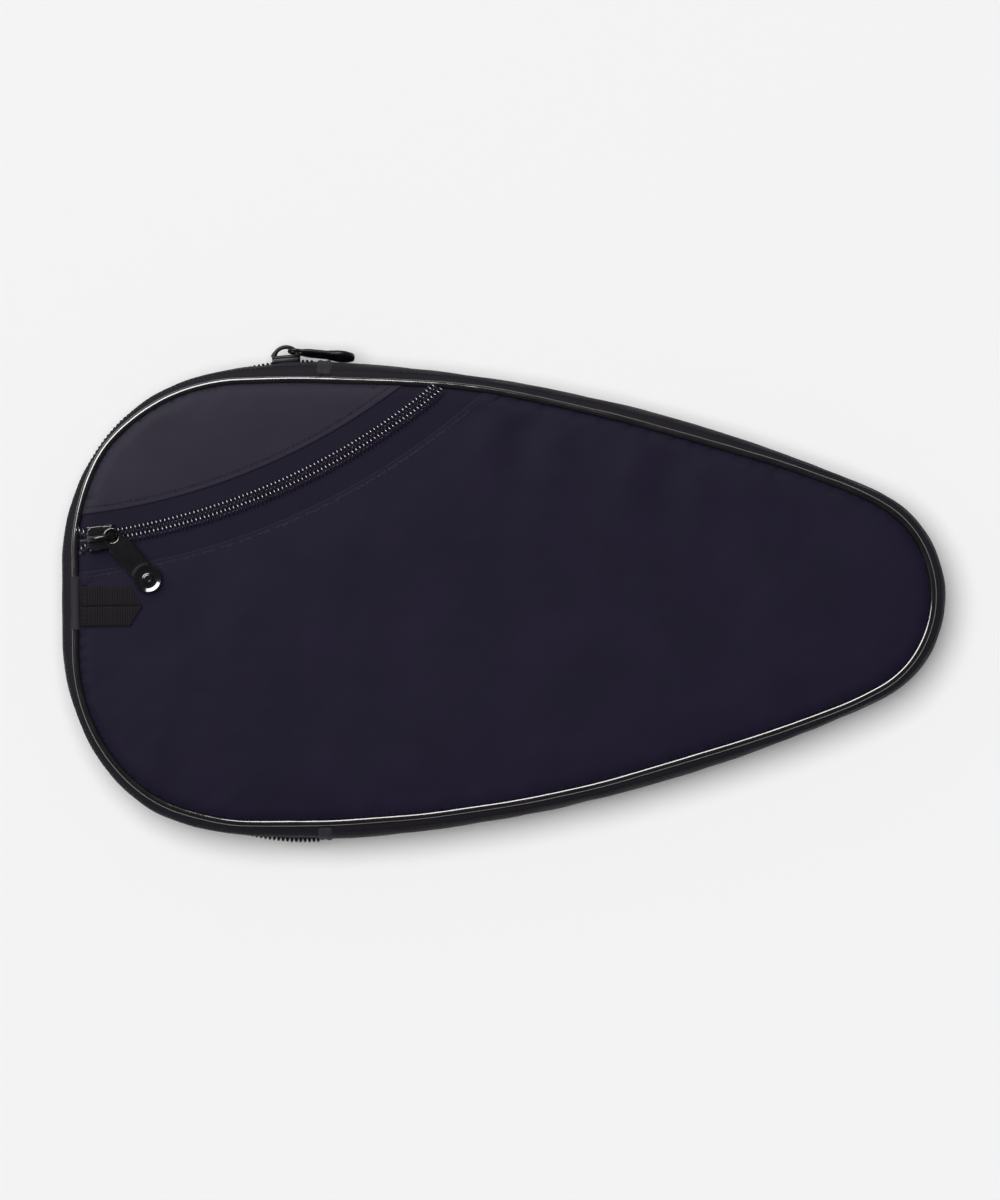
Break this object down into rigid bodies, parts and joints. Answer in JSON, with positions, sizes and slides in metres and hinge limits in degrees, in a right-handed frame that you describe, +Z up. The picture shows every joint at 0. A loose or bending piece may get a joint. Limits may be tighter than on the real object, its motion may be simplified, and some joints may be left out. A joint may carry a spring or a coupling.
{
  "type": "padded racket case",
  "caption": "Padded teardrop racket case with a zipped flap round its wide end, piped edges, a curved zipped front pocket and a hang loop.",
  "frame": {"origin": "on the resting plane under the centre of the circle that the main zip follows round the wide end", "axes": "+X towards the narrow end, +Y towards the side where the main zip starts, +Z up out of the front panel"},
  "size_m": [0.4993, 0.282, 0.0648],
  "materials": {
    "panel_cloth": "matt coated nylon with a slight sheen",
    "corner_cloth": "matt coated nylon, slightly lighter",
    "gusset_cloth": "matt woven nylon",
    "piping": "glossy coated piping",
    "binding": "woven binding tape",
    "lining": "plain woven polyester",
    "foam": "closed-cell polyethylene foam",
    "zip_tape": "woven herringbone tape",
    "zip_coil": "glossy nylon coil",
    "zip_metal": "gloss black lacquered zinc",
    "webbing": "ribbed flat webbing"
  },
  "bodies": {
    "case_body": {"back_binding": "binding", "back_panel_fabric": "panel_cloth", "back_panel_foam": "foam", "back_panel_lining": "lining", "back_piping": "piping", "back_zip_coil": "zip_coil", "back_zip_strip": "gusset_cloth", "back_zip_tape": "zip_tape", "bottom_seam_tab": "gusset_cloth", "front_binding": "binding", "front_panel_fabric": "panel_cloth", "front_panel_foam": "foam", "front_panel_lining": "lining", "front_piping": "piping", "front_zip_coil_ends": "zip_coil", "front_zip_strip_ends": "gusset_cloth", "front_zip_tape_ends": "zip_tape", "gusset_fabric": "gusset_cloth", "gusset_foam": "foam", "gusset_lining": "lining", "pocket_backing": "lining", "pocket_coil_lower_end": "zip_coil", "pocket_coil_upper_end": "zip_coil", "pocket_tape_lower_end": "zip_tape", "pocket_tape_upper_end": "zip_tape", "pocket_top_panel_end": "corner_cloth", "top_seam_tab": "gusset_cloth"},
    "front_flap": {"flap_binding": "binding", "flap_foam": "foam", "flap_front_fabric": "panel_cloth", "flap_lining": "lining", "flap_piping": "piping", "flap_pocket_backing": "lining", "flap_pocket_coil_lower": "zip_coil", "flap_pocket_coil_upper": "zip_coil", "flap_pocket_tape_lower": "zip_tape", "flap_pocket_tape_upper": "zip_tape", "flap_pocket_top_panel": "corner_cloth", "flap_zip_coil": "zip_coil", "flap_zip_strip": "gusset_cloth", "flap_zip_tape": "zip_tape", "piping_joint_cover": "piping"},
    "main_slider": {"main_slider_body": "zip_metal"},
    "main_pull": {"main_pull_tab": "zip_metal"},
    "pocket_slider": {"pocket_slider_body": "zip_metal"},
    "pocket_pull": {"pocket_pull_tab": "zip_metal"},
    "hang_loop_strap": {"hang_loop": "webbing"}
  },
  "joints": [
    {"name": "front_flap_open", "type": "hinge", "parent": "case_body", "child": "front_flap", "pos_m": [-0.021, 0, 0.0562], "axis": [0, -1, 0], "range_deg": [-75, 0]},
    {"name": "main_slider_travel", "type": "hinge", "parent": "case_body", "child": "main_slider", "pos_m": [0, 0, 0], "axis": [0, 0, -1], "range_deg": [-172.4, 0]},
    {"name": "main_pull_swing", "type": "hinge", "parent": "main_slider", "child": "main_pull", "pos_m": [-0.00749, 0.14154, 0.027], "axis": [0, 0, 1], "range_deg": [0, 140]},
    {"name": "pocket_slider_travel", "type": "hinge", "parent": "front_flap", "child": "pocket_slider", "pos_m": [-0.1642, 0.4165, 0], "axis": [0, 0, 1], "range_deg": [0, 27.4]},
    {"name": "pocket_pull_swing", "type": "hinge", "parent": "pocket_slider", "child": "pocket_pull", "pos_m": [-0.1117, 0.03691, 0.06076], "axis": [0.1323, -0.9912, 0], "range_deg": [0, 140]},
    {"name": "hang_loop_flip", "type": "hinge", "parent": "front_flap", "child": "hang_loop_strap", "pos_m": [-0.1262, 0, 0.055], "axis": [0, -1, 0], "range_deg": [0, 170]}
  ]
}
